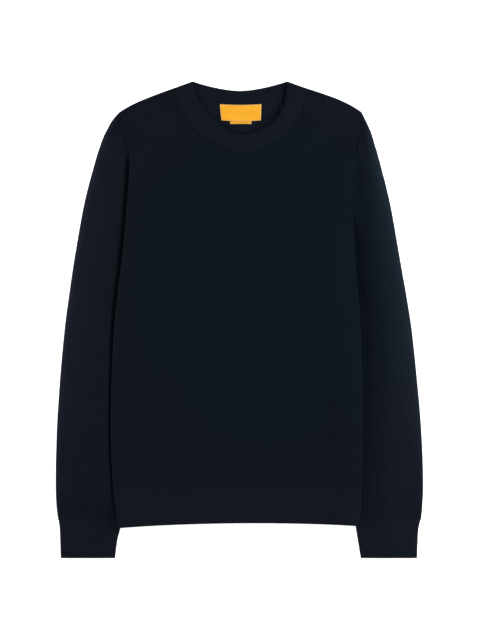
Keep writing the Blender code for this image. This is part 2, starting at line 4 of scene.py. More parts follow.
import math
import bpy
import numpy as np
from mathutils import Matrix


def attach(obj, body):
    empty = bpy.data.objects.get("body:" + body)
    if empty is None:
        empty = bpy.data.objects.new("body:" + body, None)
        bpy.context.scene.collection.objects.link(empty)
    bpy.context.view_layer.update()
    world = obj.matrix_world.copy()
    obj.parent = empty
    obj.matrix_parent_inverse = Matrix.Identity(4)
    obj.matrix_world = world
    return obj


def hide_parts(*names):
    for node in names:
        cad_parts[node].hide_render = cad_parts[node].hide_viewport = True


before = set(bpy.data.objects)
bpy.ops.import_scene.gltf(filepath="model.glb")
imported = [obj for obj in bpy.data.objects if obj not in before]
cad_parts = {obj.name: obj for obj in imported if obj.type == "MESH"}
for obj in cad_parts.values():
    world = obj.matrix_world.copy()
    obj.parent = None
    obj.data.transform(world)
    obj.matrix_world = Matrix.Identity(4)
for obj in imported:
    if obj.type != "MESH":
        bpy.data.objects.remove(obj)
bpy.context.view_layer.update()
print("frame loaded")

mm = 0.001

knit = {
    "wall": 2.0,
    "gap": 0.3,  # between layers
    "seam": 0.1,  # how far a piece reaches over its seam line into the next
    "ribPitch": 4.2,
    "ribHeight": 0.37,
    "ribAtSeam": 0.8,  # share of it left at a seam
    "ribFade": 1.4,  # over which it comes up from there
    "ribFadeStart": 0.25,  # how far into that fade it starts
    "course": 1.9,  # height of one row of stitches
    "roundWidth": 3.5,  # from a folded edge to the full height
    "sewnRound": 1.4,  # the same where a sleeve is sewn on
    "edgeLip": {-1: 0.5, 1: 0.75},  # share of the wall left at a side edge
    "seamDepth": 0.07,  # how far a piece dips into its seam
    "seamWidth": 2.2,
    "endRound": 2.6,  # under side of the free lower edges
    "endLip": 0.25,  # share of the wall that it rises
    "rollWidth": 8.0,  # their upper side, which rolls down
    "rollDepth": 1.4,
    "bandRows": 12,  # rows of points up the hem and the cuffs
    "creaseFade": 0.35,  # share of a crease's length over which each of its ends fades
}
foldSteps = np.array([0, 0.15, 0.5, 1.1, 2.0, 3.2, 5.0, 7.0])  # columns in from a fold
endSteps = np.array([0, 0.15, 0.45, 0.9, 1.6, 2.6, 4.2, 6.0])  # rows in from an end
layerMid = knit["wall"] + knit["gap"] / 2
frontUnder = knit["wall"] + knit["gap"]

# Half widths down the garment: y, body edge, outer fold of the sleeve, sleeve under the body edge
rightRows = np.array([
    (326, 188.3, 188.6, 0.2), (314, 189.1, 199.1, 0.2), (302, 187.5, 206.1, 0.2),
    (290, 183.2, 212.3, 0.2), (276, 177.2, 217.9, 0.2), (260, 173.4, 223.2, 0.4),
    (246, 172.5, 227.3, 2.5), (205, 174.7, 238.4, 6.5), (175, 176.8, 245.3, 9.5),
    (133, 180.2, 252.9, 16.0), (86, 185.5, 260.8, 29.0), (31, 192.3, 268.7, 31.0),
    (-16, 196.9, 274.8, 30.0), (-95, 200.7, 281.9, 26.0), (-173, 201.9, 286.8, 20.0),
    (-252, 199.1, 288.6, 13.0), (-291, 195.0, 287.5, 9.0), (-314, 191.5, 284.6, 6.0),
    (-328, 189.8, 282.4, 3.1)])
leftRows = np.array([
    (326, 191.7, 192.0, 0.2), (314, 193.0, 197.9, 0.2), (302, 192.8, 203.6, 0.2),
    (290, 191.2, 208.3, 0.2), (276, 188.2, 212.4, 0.2), (260, 184.7, 217.2, 0.4),
    (246, 182.3, 221.1, 2.5), (205, 179.0, 231.6, 6.0), (175, 177.8, 238.3, 9.0),
    (133, 178.7, 245.8, 15.5), (86, 182.1, 253.9, 29.0), (31, 186.2, 263.6, 29.0),
    (-16, 189.8, 270.7, 26.0), (-95, 192.2, 279.1, 20.0), (-173, 192.4, 285.6, 14.0),
    (-252, 192.1, 288.6, 9.0), (-291, 190.9, 287.4, 8.0), (-314, 187.8, 285.0, 6.6),
    (-328, 183.1, 281.3, 2.0)])
sides = {-1: rightRows, 1: leftRows}
bodyColumn, sleeveColumn, tuckColumn = 1, 2, 3

body = {
    "shoulderY": 326.0,
    "climbStart": 294.0,  # the body edge climbs onto the sleeve between these heights
    "climbFull": 262.0,
    "climbHeight": 5.8,
    "climbWidth": 55.0,
    "climbMargin": 1.0,
    "shoulderSlope": {-1: 0.36, 1: 0.325},
    "shoulderRounding": 4,
    "shoulderRound": 10.0,  # from the shoulder's fold to the full height
    "hemSeam": -267.0,
    "hemFoot": -319.7,
    "footSag": 7.4,
    "sagX": 25.0,
    "sagHalf": 215.0,
    "rows": 93,
    "backRows": 44,
    "edgeSteps": np.array([0, 0.2, 0.6, 1.2, 2.0, 3.0, 4.5]),  # columns in from a side edge
    "plainStep": 3,  # rib halves between the columns of a plain side
    "softness": 0.1,
    "backSeamShare": 0.5,  # the back's seams are this much shallower
    "armholeLip": 0.97,  # share of the wall left at the edge along the left armhole
    "armholeSpan": (120, 60, 328, 24),
}
innerRibs = {"height": 0.7, "half": 88, "fadeSide": 14, "above": 1, "fadeLow": 8}  # seen through the neck
neck = {
    "x": 0.8,
    "topY": 374.3,
    "half": 74.3,
    "drop": 82.4,
    "power": {-1: 1.6, 1: 2.35},
    "seamTopY": 364.4,
    "seamHalf": 101.7,
    "seamDrop": 100.6,
    "seamPower": {-1: 1.72, 1: 2.0},
    "backDip": 15.0,
    "backPower": 1.65,
    "backSeamDip": 29.8,
    "backSeamPower": 2.2,
    "corner": 9.0,  # the seam runs steeply up this close to its ends
    "creaseDepth": 1.5,  # trough beside the front's inner edge on the left, and how far from it
    "creaseWidth": 1.3,
    "creaseOff": 1.5,
    "creaseSpan": (308, 14, 372, 8),
    "steps": 120,
}


def smoothStep(t):
    t = np.clip(t, 0, 1)
    return t * t * (3 - 2 * t)


# Height share of a rounded edge: 0 at the edge, 1 past the round
def roundOver(distance, width):
    t = np.clip(distance / width, 0, 1)
    return np.sqrt(1 - (1 - t) ** 2)


# 1 between two heights, from (low, length of its fade, high, length of its fade)
def shownBetween(y, span):
    low, fadeLow, high, fadeHigh = span
    return smoothStep((y - low) / fadeLow) * smoothStep((high - y) / fadeHigh)


# A table's column at height y, on a smooth curve through its rows
def through(table, column, y):
    ys, values = table[:, 0], table[:, column]
    y = np.clip(y, ys[-1], ys[0])
    k = np.clip(np.searchsorted(-ys, -y, side="right") - 1, 0, len(ys) - 2)
    before, after = np.maximum(np.arange(len(ys)) - 1, 0), np.minimum(np.arange(len(ys)) + 1, len(ys) - 1)
    slope = (values[after] - values[before]) / (ys[after] - ys[before])
    span = ys[k + 1] - ys[k]
    t = (y - ys[k]) / span
    return ((1 + 2 * t) * (1 - t) ** 2 * values[k] + t * (1 - t) ** 2 * span * slope[k]
            + t * t * (3 - 2 * t) * values[k + 1] + t * t * (t - 1) * span * slope[k + 1])


# Where falling functions cross zero, for a whole row of them at once
def crossing(function, low, high, count, halvings=42):
    low, high = np.full(count, float(low)), np.full(count, float(high))
    for step in range(halvings):
        middle = (low + high) / 2
        above = function(middle) > 0
        low, high = np.where(above, middle, low), np.where(above, high, middle)
    return (low + high) / 2


def bySide(x, table, y):
    return np.where(x < 0, through(rightRows, table, y), through(leftRows, table, y))


def pick(x, pair):
    return np.where(x < 0, pair[-1], pair[1])


def bodyX(u, y):
    right = through(rightRows, bodyColumn, y)
    return -right + u * (right + through(leftRows, bodyColumn, y))


# From the end of the neck seam to the shoulder point
shoulderLength = {side: rows[0][bodyColumn] - neck["seamHalf"] - side * neck["x"]
                  for side, rows in sides.items()}


def shoulderLine(x):
    length = pick(x, shoulderLength)
    run = np.maximum(abs(x - neck["x"]) - neck["seamHalf"], 0)
    slope = pick(x, body["shoulderSlope"])
    rounding = neck["seamTopY"] - body["shoulderY"] - slope * length
    return neck["seamTopY"] - slope * run - rounding * (run / length) ** body["shoulderRounding"]


def frontTop(x):
    offset = x - neck["x"]
    half = neck["seamHalf"] - knit["seam"]
    power = pick(offset, neck["seamPower"])
    share = (1 - np.minimum(abs(offset) / half, 1) ** power) ** (1 / power)
    low = neck["seamTopY"] - (neck["seamDrop"] - knit["seam"]) * share
    return np.where(abs(offset) >= half, shoulderLine(x), low)


def backTop(x):
    offset = abs(x - neck["x"])
    half = neck["seamHalf"] - knit["seam"]
    share = 1 - np.minimum(offset / half, 1) ** neck["backSeamPower"]
    low = neck["seamTopY"] + 2 * knit["seam"] - neck["backSeamDip"] * share
    return np.where(offset >= half, shoulderLine(x), low)


def hemSeamTop(x):
    return body["hemSeam"] - knit["seam"] + 0 * x


def hemSeamFoot(x):
    return body["hemSeam"] + 0 * x


def hemFoot(x):
    return body["hemFoot"] - body["footSag"] * ((x - body["sagX"]) / body["sagHalf"]) ** 2


# How far the body edge has climbed at height y: 0 at the shoulder, 1 from the upper arm down
def climbShare(y):
    return smoothStep((body["climbStart"] - y) / (body["climbStart"] - body["climbFull"]))


def climb(x, y):
    covered = bySide(x, bodyColumn, y) - np.maximum(bySide(x, tuckColumn, y), 0)
    start = covered - body["climbMargin"] - body["climbWidth"]
    across = smoothStep((abs(x) - start) / body["climbWidth"])
    return body["climbHeight"] * across * climbShare(y)


# Where the left armhole's seam is smooth, above the underarm
def softArmhole(x, y):
    return np.where(x > 0, shownBetween(y, body["armholeSpan"]), 0)


# Trough of the back beside the front's free neck edge, on the left from the shoulder to the label
def neckCrease(x, y):
    fall = np.clip((neck["topY"] - y) / neck["drop"], 0, 1)
    power = neck["power"][1]
    edge = neck["x"] + neck["half"] * (1 - fall ** power) ** (1 / power)
    off = (edge - neck["creaseOff"] - x) / neck["creaseWidth"]
    return neck["creaseDepth"] * shownBetween(y, neck["creaseSpan"]) * np.exp(-off ** 2)


# A rounded rib with a narrow valley on each side; whole phases are valleys
ribSteps = np.array([0, 0.045, 0.14, 0.3, 0.5, 0.7, 0.86, 0.955])


def ribProfile(phase):
    return np.sqrt(np.clip(1 - abs(2 * (phase % 1) - 1) ** 3, 0, 1))


def ribPlaces(ribs):
    places = (np.arange(ribs)[:, None] + ribSteps[None, :]).ravel() / ribs
    return np.append(places, 1.0)


# Height of soft troughs and ridges at a place
def relief(creases, x, y):
    total = np.zeros(np.broadcast(x, y).shape)
    for x0, y0, x1, y1, width, depth in creases:
        runX, runY = x1 - x0, y1 - y0
        length = math.hypot(runX, runY)
        along = ((x - x0) * runX + (y - y0) * runY) / length
        off = ((x - x0) * runY - (y - y0) * runX) / length
        fade = knit["creaseFade"] * length
        total = total - depth * shownBetween(along, (0, fade, length, fade)) * np.exp(-(off / width) ** 2)
    return total


# Slow unevenness of cloth that was smoothed out by hand: lengths and phases of the broad swell in x and
# in y, then share, lengths and phase of each finer one
swells = {"broad": (47, 1.3, 71, 0.4), "fine": [(0.6, 23, 58, 2.1), (0.4, -64, 31, 0)]}


def softness(x, y, amount):
    lengthX, phaseX, lengthY, phaseY = swells["broad"]
    total = np.sin(x / lengthX + phaseX) * np.sin(y / lengthY + phaseY)
    for share, lengthX, lengthY, phase in swells["fine"]:
        total = total + share * np.sin(x / lengthX + y / lengthY + phase)
    return amount * total


# Heights of the rows of each column, closer at both ends
def spread(low, top, count):
    low, top = low[:, None], top[:, None]
    middle = np.linspace(0, 1, count)[None, 1:-1]
    reach = endSteps[-1]
    return np.concatenate([low + endSteps, low + reach + middle * (top - low - 2 * reach),
                           top - endSteps[::-1]], axis=1)


def gridFaces(numbers, flip=False, wrap=False):
    after = np.roll(numbers, -1, axis=0) if wrap else numbers[1:]
    before = numbers if wrap else numbers[:-1]
    faces = np.stack([before[:, :-1], after[:, :-1], after[:, 1:], before[:, 1:]], axis=-1).reshape(-1, 4)
    return (faces[:, ::-1] if flip else faces).tolist()


# Triangles between two lines whose points stand at rising places
def zipped(lineA, placesA, lineB, placesB):
    triangles, i, j = [], 0, 0
    while i < len(lineA) - 1 or j < len(lineB) - 1:
        if j == len(lineB) - 1 or (i < len(lineA) - 1 and placesA[i + 1] <= placesB[j + 1]):
            triangles.append([int(lineA[i]), int(lineB[j]), int(lineA[i + 1])])
            i += 1
        else:
            triangles.append([int(lineA[i]), int(lineB[j]), int(lineB[j + 1])])
            j += 1
    return triangles


# A grid of points with the phase of its ribs and the count of its stitch rows
def gridOf(points, places, phase, rowCount):
    stitch = np.stack([np.broadcast_to(phase, rowCount.shape), rowCount, 0 * rowCount], axis=-1)
    return {"points": points, "places": places, "stitch": stitch}


def newObject(name, data):
    made = bpy.data.objects.new(name, data)
    bpy.context.scene.collection.objects.link(made)
    return made


# Makes the mesh object of grids and faces, with a material
def makePiece(name, grids, faces, material, node):
    points = np.concatenate([grid["points"].reshape(-1, 3) for grid in grids]) * mm
    stitch = np.concatenate([grid["stitch"].reshape(-1, 3) for grid in grids])
    mesh = bpy.data.meshes.new(name)
    mesh.from_pydata(points.tolist(), [], faces)
    mesh.attributes.new("stitch", "FLOAT_VECTOR", "POINT").data.foreach_set("vector", stitch.ravel())
    mesh.shade_smooth()
    mesh.materials.append(material)
    piece = newObject(name, mesh)
    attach(piece, "root")
    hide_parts(node)
    return piece


# Closed sheet of an upper and a lower grid, from -X to +X, with the same number of rows
def sheetPiece(name, upper, lower, material, node, slot):
    columns = np.concatenate([upper["points"], lower["points"][::-1]])
    stitch = np.concatenate([upper["stitch"], lower["stitch"][::-1]])
    numbers = np.arange(columns.shape[0] * columns.shape[1]).reshape(columns.shape[:2])
    count = len(upper["points"])
    faces = gridFaces(numbers, wrap=True)
    top, bottom = numbers[:count], numbers[count:][::-1]
    faces += zipped(top[:, 0], upper["places"], bottom[:, 0], lower["places"])
    faces += zipped(bottom[:, -1], lower["places"], top[:, -1], upper["places"])
    return makePiece(name, [{"points": columns, "stitch": stitch}], faces, material, node)


# Open flattened tube of two rings; each is an upper and a lower grid that share their folds
def tubePiece(name, outer, inner, material, node):
    grids, faces, ends, start = [], [], [], 0
    for (upper, lower), flip in ((outer, False), (inner, True)):
        points = np.concatenate([upper["points"], lower["points"][1:-1][::-1]])
        stitch = np.concatenate([upper["stitch"], lower["stitch"][1:-1][::-1]])
        places = np.concatenate([upper["places"], 2 - lower["places"][1:-1][::-1], [2.0]])
        numbers = start + np.arange(points.shape[0] * points.shape[1]).reshape(points.shape[:2])
        start = int(numbers[-1, -1]) + 1
        faces += gridFaces(numbers, flip, wrap=True)
        closed = np.concatenate([numbers, numbers[:1]])
        ends.append((closed[:, 0], closed[:, -1], places))
        grids.append({"points": points, "stitch": stitch})
    (outerLow, outerHigh, outerPlaces), (innerLow, innerHigh, innerPlaces) = ends
    faces += zipped(outerLow, outerPlaces, innerLow, innerPlaces)
    faces += zipped(innerHigh, innerPlaces, outerHigh, outerPlaces)
    return makePiece(name, grids, faces, material, node)


# A shader node group with three outputs
def newGroup(name, inputs):
    tree = bpy.data.node_groups.new(name, "ShaderNodeTree")
    outputs = {"Color": "Color", "Height": "Float", "Roughness": "Float"}
    for way, sockets in (("INPUT", inputs), ("OUTPUT", outputs)):
        for label, kind in sockets.items():
            tree.interface.new_socket(label, in_out=way, socket_type="NodeSocket" + kind)
    return tree, tree.nodes.new("NodeGroupInput").outputs


# Links a node's inputs or sets their values; i0 is the first input
def feed(tree, node, sockets):
    for key, value in sockets.items():
        numbered = key[0] == "i" and key[1:].isdigit()
        socket = node.inputs[int(key[1:]) if numbered else key]
        if isinstance(value, bpy.types.NodeSocket):
            tree.links.new(value, socket)
        else:
            socket.default_value = value


def addNode(tree, kind, settings=None, **sockets):
    node = tree.nodes.new(kind)
    for key, value in (settings or {}).items():
        setattr(node, key, value)
    feed(tree, node, sockets)
    return node


def calc(tree, operation, a, b=0.0, c=0.0):
    return addNode(tree, "ShaderNodeMath", {"operation": operation}, i0=a, i1=b, i2=c).outputs[0]


def times(tree, a, b):
    return calc(tree, "MULTIPLY", a, b)


def plus(tree, a, b):
    return calc(tree, "ADD", a, b)


def minus(tree, a, b):
    return calc(tree, "SUBTRACT", a, b)


def vectorCalc(tree, operation, **sockets):
    return addNode(tree, "ShaderNodeVectorMath", {"operation": operation}, **sockets)


def mapped(tree, value, low, high):
    return addNode(tree, "ShaderNodeMapRange", {"interpolation_type": "SMOOTHSTEP"},
                   i0=value, i1=low, i2=high).outputs[0]


def noise(tree, places, look):
    return addNode(tree, "ShaderNodeTexNoise", Vector=places, **look).outputs[0]


def mixColor(tree, factor, a, b, mode="MIX"):
    return addNode(tree, "ShaderNodeMix", {"data_type": "RGBA", "blend_type": mode},
                   i0=factor, i6=a, i7=b).outputs[2]


# Shares of a rib's width and of the height and tone of its stitches
ribLook = {
    "leg": 0.07,  # gap between the two legs of a stitch
    "valley": (0.33, 0.5),  # from the rib's middle to where the purl valley starts and is full
    "fuzz": 0.45,
    "valleyDepth": 0.4,
    # painted shade: share by which the purl valleys take the darker valley colour
    "valleyTone": 0.75,
    "cloudShare": 0.6,  # of the heather's slow change, the rest being streaks along the ribs
    "swing": 4.0,
    "raisedTone": (0.3, 0.82),  # painted highlight on the raised loops: gain and base
    "grain": (0.4, 0.8),
    "roughness": (0.2, 0.78),
    "fibre": {"Scale": 1900.0, "Detail": 3.0, "Roughness": 0.7},
    "cloud": {"Scale": 38.0, "Detail": 4.0, "Roughness": 0.6},
    "streak": {"Scale": 1.0, "Detail": 2.0},
    "streakStretch": (2.0, 0.16, 1.0),
}
# Painted light: the middle of the front is tinted cooler, fading out towards its edges, in place of the
# different tint the light gives the edges
paintedTintSpot = {"Location": (0.04, 0.05, 0.0), "Scale": (0.215, 0.26, 1.0)}
paintedTintFade = (0.8, 1.3)


# Rows of V-shaped stitches up each rib, with purl valleys between the ribs; the valleys are darkened with
# painted shade and the raised loops lightened with a painted highlight
def ribKnitGroup():
    tree, given = newGroup("ribKnit", {"Stitch": "Vector", "Yarn": "Color", "Valley": "Color",
                                       "Slant": "Float", "Heather": "Float", "Cast": "Color"})
    phase, course, _ = addNode(tree, "ShaderNodeSeparateXYZ", i0=given["Stitch"]).outputs
    across = calc(tree, "ABSOLUTE", minus(tree, calc(tree, "FRACT", phase), 0.5))
    slanted = plus(tree, course, times(tree, across, given["Slant"]))
    wave = calc(tree, "COSINE", times(tree, slanted, 2 * math.pi))
    loop = calc(tree, "MULTIPLY_ADD", wave, 0.5, 0.5)
    leg = mapped(tree, across, 0.0, ribLook["leg"])
    valley = mapped(tree, across, *ribLook["valley"])
    places = addNode(tree, "ShaderNodeTexCoord").outputs["Object"]
    fibre = noise(tree, places, ribLook["fibre"])
    cloud = noise(tree, places, ribLook["cloud"])
    stretched = vectorCalc(tree, "MULTIPLY", i0=given["Stitch"], i1=ribLook["streakStretch"])
    streak = noise(tree, stretched.outputs[0], ribLook["streak"])
    raised = times(tree, times(tree, loop, leg), minus(tree, 1.0, valley))
    fuzz = times(tree, fibre, ribLook["fuzz"])
    sunk = times(tree, valley, ribLook["valleyDepth"])
    height = minus(tree, plus(tree, raised, fuzz), sunk)
    tone = plus(tree, times(tree, cloud, ribLook["cloudShare"]),
                times(tree, streak, 1 - ribLook["cloudShare"]))
    swing = times(tree, minus(tree, tone, 0.5), given["Heather"])
    # Painted highlight: the raised loops are lighter, on top of the heather's own swing in tone
    loopHighlightAndHeather = plus(tree, calc(tree, "MULTIPLY_ADD", raised, *ribLook["raisedTone"]),
               times(tree, swing, ribLook["swing"]))
    shade = times(tree, loopHighlightAndHeather, calc(tree, "MULTIPLY_ADD", fibre, *ribLook["grain"]))
    scaled = vectorCalc(tree, "SCALE", i0=given["Yarn"], Scale=shade).outputs[0]
    # Painted shade: the purl valleys are darkened towards the shaded valley colour
    purl = times(tree, valley, ribLook["valleyTone"])
    color = mixColor(tree, purl, scaled, given["Valley"])
    middle = addNode(tree, "ShaderNodeMapping", {"vector_type": "TEXTURE"}, Vector=places, **paintedTintSpot)
    flat = vectorCalc(tree, "MULTIPLY", i0=middle.outputs[0], i1=(1, 1, 0))
    away = vectorCalc(tree, "LENGTH", i0=flat.outputs[0]).outputs["Value"]
    # Painted light tint, strongest over the middle of the front
    paintedTintColor = mixColor(tree, mapped(tree, away, *paintedTintFade), given["Cast"], (1, 1, 1, 1))
    color = mixColor(tree, 1.0, color, paintedTintColor, "MULTIPLY")
    rough = calc(tree, "MULTIPLY_ADD", fibre, *ribLook["roughness"])
    addNode(tree, "NodeGroupOutput", Color=color, Height=height, Roughness=rough)
    return tree


tapeLook = {
    "twillThreads": 3,  # the slanting lines repeat after these
    "twill": 0.35,
    "rows": 0.3,
    "columns": 0.15,
    "border": 0.8,
    "tone": (0.09, 0.93),  # painted shading of the woven relief: gain and base
    "cloudTone": 0.25,
    "roughness": (0.08, 0.55),
    "cloud": {"Scale": 90.0, "Detail": 3.0},
}


# Fine satin weave for tapes and labels, from the mesh's own stitch places
def tapeWeaveGroup():
    tree, given = newGroup("tapeWeave", {"Stitch": "Vector", "Thread": "Color", "Light": "Color"})
    warp, weft, edge = addNode(tree, "ShaderNodeSeparateXYZ", i0=given["Stitch"]).outputs
    twill = calc(tree, "COSINE", times(tree, plus(tree, warp, weft), 2 * math.pi / tapeLook["twillThreads"]))
    rows, columns = [calc(tree, "COSINE", times(tree, run, 2 * math.pi)) for run in (weft, warp)]
    crossed = plus(tree, times(tree, rows, tapeLook["rows"]), times(tree, columns, tapeLook["columns"]))
    height = plus(tree, times(tree, twill, tapeLook["twill"]), crossed)
    places = addNode(tree, "ShaderNodeTexCoord").outputs["Object"]
    cloud = noise(tree, places, tapeLook["cloud"])
    border = times(tree, edge, tapeLook["border"])
    mixed = mixColor(tree, border, given["Thread"], given["Light"])
    # Painted shade and highlight from the weave's relief, plus the weave's own cloudy tone
    shade = plus(tree, calc(tree, "MULTIPLY_ADD", height, *tapeLook["tone"]),
                 times(tree, minus(tree, cloud, 0.5), tapeLook["cloudTone"]))
    color = vectorCalc(tree, "SCALE", i0=mixed, Scale=shade).outputs[0]
    rough = calc(tree, "MULTIPLY_ADD", height, *tapeLook["roughness"])
    addNode(tree, "NodeGroupOutput", Color=color, Height=height, Roughness=rough)
    return tree


def newMaterial(name):
    material = bpy.data.materials.new(name)
    material.use_nodes = True
    tree = material.node_tree
    return material, tree, tree.nodes["Principled BSDF"]


def clothMaterial(name, group, look):
    material, tree, shader = newMaterial(name)
    stitch = addNode(tree, "ShaderNodeAttribute", {"attribute_name": "stitch"})
    pattern = addNode(tree, "ShaderNodeGroup", {"node_tree": group}, Stitch=stitch.outputs["Vector"],
                      **look["pattern"])
    bump = addNode(tree, "ShaderNodeBump", Height=pattern.outputs["Height"], Strength=look["bump"],
                   Distance=look["depth"] * mm)
    feed(tree, shader, {"Base Color": pattern.outputs["Color"], "Roughness": pattern.outputs["Roughness"],
                        "Normal": bump.outputs[0], **look["shader"]})
    return material


ribKnit, tapeWeave = ribKnitGroup(), tapeWeaveGroup()
woolShader = {"Specular IOR Level": 0.03, "Sheen Weight": 0.06, "Sheen Roughness": 0.25,
              "Sheen Tint": (0.62, 0.72, 0.95, 1)}
# valley: the valley colour as a share of the yarn, darker as painted shade
yarn = {"color": (0.0053, 0.0069, 0.0113), "valley": 0.88, "cast": (0.69, 1, 0.92, 1)}
# Share of the yarn's brightness, which is painted light: the back's inside under the collar and the trims at
# the edges are lifted copies of the one yarn; share of the painted light tint; slant of the stitches;
# strength of the heather
knitLooks = {
    "navyBodyKnit": (0.975, 1.0, 1.2, 0.09),
    "navyInnerKnit": (1.45, 0.4, 1.2, 0.07),
    "navySleeveKnit": (1.0, 1.0, 1.2, 0.09),
    "navyTrimKnit": (1.13, 0.4, 0.9, 0.08),
}


def knitMaterial(name):
    paintedBrightness, cast, slant, heather = knitLooks[name]
    return clothMaterial(name, ribKnit, {
        "pattern": {"Yarn": [c * paintedBrightness for c in yarn["color"]] + [1],
                    "Valley": [c * paintedBrightness * yarn["valley"] for c in yarn["color"]] + [1],
                    "Cast": [1 - cast * (1 - c) for c in yarn["cast"]], "Slant": slant, "Heather": heather},
        "bump": 0.5, "depth": 0.3, "shader": woolShader})


bodyKnit, innerKnit, sleeveKnit, trimKnit = [knitMaterial(name) for name in knitLooks]
labelCloth = clothMaterial("amberLabelSatin", tapeWeave, {
    "pattern": {"Thread": (0.95, 0.42, 0.022, 1), "Light": (0.73, 0.41, 0.13, 1)},
    "bump": 0.35, "depth": 0.12, "shader": {"Specular IOR Level": 0.15, "Sheen Weight": 0.02}})
print("materials made")


# Front, back and hem. A crease: from x, y, to x, y, half width, depth (a ridge has a negative depth)
armholeTrough = (182, 275, 172, 115, 11, 1.1)  # runs on from the body to the sleeve
frontCreases = [
    armholeTrough,
    (-118, 205, -40, 60, 16, 0.35),
    (120, 215, 66, 92, 18, 0.3),
    (-150, -40, -96, -210, 20, 0.3),
    (140, -30, 118, -200, 22, -0.35),
    (-20, 120, 38, -60, 26, 0.25),
    (150, 230, 172, 120, 9, 0.5),
    (-150, 236, -166, 150, 9, 0.4),
    (-60, -150, 20, -240, 24, -0.25),
]
bodyWidth = float(max(rightRows[:, bodyColumn] + leftRows[:, bodyColumn]))
bodyRibs = round(bodyWidth / knit["ribPitch"])


# Rib samples across the body, with more where the neck seam runs steeply up
def bodyPlaces(fine):
    places = ribPlaces(bodyRibs) if fine else np.linspace(0, 1, 2 * bodyRibs + 1)[::body["plainStep"]]
    half = neck["seamHalf"] - knit["seam"]
    xs = neck["x"] - half * np.cos(math.pi * np.arange(neck["steps"] + 1) / neck["steps"])
    xs = xs[np.minimum(abs(xs - xs[0]), abs(xs - xs[-1])) < neck["corner"]]
    right, left = rightRows[0][bodyColumn], leftRows[0][bodyColumn]
    edge = body["edgeSteps"] / bodyWidth
    return np.unique(np.round(np.concatenate([places, (xs + right) / (right + left), edge, 1 - edge]), 7))


noSeam = 99  # as far from a seam as makes no difference


def bodyGrid(us, lowLine, topLine, count, height):
    top = crossing(lambda y: topLine(bodyX(us, y)) - y, body["hemSeam"] - 1, neck["topY"], len(us))
    low = lowLine(bodyX(us, body["hemFoot"]))
    y = spread(low, top, count)
    u = us[:, None]
    x = bodyX(u, y)
    side = np.minimum(u, 1 - u) * (bodyX(1, y) - bodyX(0, y))
    sewn = 1 - climbShare(y)
    rounding = roundOver(side, knit["roundWidth"] + (knit["sewnRound"] - knit["roundWidth"]) * sewn)
    rounding = np.maximum(rounding, body["armholeLip"] * softArmhole(x, y))
    besideNeck = abs(bodyX(us, top) - neck["x"]) > neck["seamHalf"] - knit["seam"]
    atShoulder = ((top > body["hemSeam"] + 1) & besideNeck)[:, None]
    fromTop = top[:, None] - y
    rounding = np.where(atShoulder, np.minimum(rounding, roundOver(fromTop, body["shoulderRound"])), rounding)
    z = height({"x": x, "y": y, "phase": u * bodyRibs, "rounding": rounding, "fromLow": y - low[:, None],
                "fromTop": np.where(atShoulder, noSeam, fromTop)})
    return gridOf(np.stack([x, y, z], axis=-1), us, u * bodyRibs, y / knit["course"])


# Dip of a surface into the seam at an end, or its round at a free lower edge
def seamDip(distance):
    return knit["seamDepth"] * (1 - roundOver(distance, knit["seamWidth"]))


def rollDip(distance):
    return knit["rollDepth"] * (1 - roundOver(distance, knit["rollWidth"]))


def lipRise(distance):
    return knit["endLip"] * knit["wall"] * (1 - roundOver(distance, knit["endRound"]))


# Ribs sink a little into the seams
def seamFade(fromLow, fromTop):
    near = [smoothStep(distance / knit["ribFade"] + knit["ribFadeStart"]) for distance in (fromTop, fromLow)]
    return knit["ribAtSeam"] + (1 - knit["ribAtSeam"]) * near[0] * near[1]


def frontUpper(at, lowDip):
    lip = pick(at["x"], knit["edgeLip"])
    share = lip + (1 - lip) * at["rounding"]
    fade = seamFade(at["fromLow"], at["fromTop"])
    full = knit["wall"] + ribProfile(at["phase"]) * knit["ribHeight"] * fade
    uneven = relief(frontCreases, at["x"], at["y"]) + softness(at["x"], at["y"], body["softness"])
    return (climb(at["x"], at["y"]) + frontUnder + full * share + uneven * at["rounding"] * fade
            - seamDip(at["fromTop"]) - lowDip(at["fromLow"]))


def frontLower(at, lowRise):
    return climb(at["x"], at["y"]) + frontUnder + lowRise(at["fromLow"])


def backUpper(at, lowDip):
    x, y = at["x"], at["y"]
    inNeck = smoothStep((innerRibs["half"] - abs(x)) / innerRibs["fadeSide"])
    inNeck = inNeck * smoothStep((y - frontTop(x) - innerRibs["above"]) / innerRibs["fadeLow"])
    ribs = ribProfile(at["phase"]) * innerRibs["height"] * inNeck
    return (climb(x, y) + knit["wall"] + ribs - neckCrease(x, y)
            - lowDip(at["fromLow"]) - body["backSeamShare"] * seamDip(at["fromTop"]))


def backLower(at, lowRise):
    lifted = knit["wall"] * (1 - pick(at["x"], knit["edgeLip"])) * (1 - at["rounding"])
    return climb(at["x"], at["y"]) + lifted + lowRise(at["fromLow"])


def noDip(distance):
    return 0 * distance


finePlaces, plainPlaces = bodyPlaces(True), bodyPlaces(False)


# Upper and lower side: places across, heights, dip or rise at the lower end
def bodyPiece(name, node, lines, rows, upper, lower, material, slot):
    grids = [bodyGrid(places, *lines, rows, lambda at: height(at, end))
             for places, height, end in (upper, lower)]
    return sheetPiece(name, *grids, material, node, slot)


front = bodyPiece("frontPanel", "front", (hemSeamTop, frontTop), body["rows"],
                  (finePlaces, frontUpper, seamDip), (plainPlaces, frontLower, noDip), bodyKnit, "knit")
back = bodyPiece("backPanel", "back", (hemSeamTop, backTop), body["backRows"],
                 (finePlaces, backUpper, seamDip), (plainPlaces, backLower, noDip), innerKnit, "knit")
hemFront = bodyPiece("hemFrontBand", "hem_front", (hemFoot, hemSeamFoot), knit["bandRows"],
                     (finePlaces, frontUpper, rollDip), (plainPlaces, frontLower, lipRise), trimKnit, "trim")
hemBack = bodyPiece("hemBackBand", "hem_back", (hemFoot, hemSeamFoot), knit["bandRows"],
                    (plainPlaces, backUpper, lipRise), (plainPlaces, backLower, lipRise), trimKnit, "trim")
print("body made")


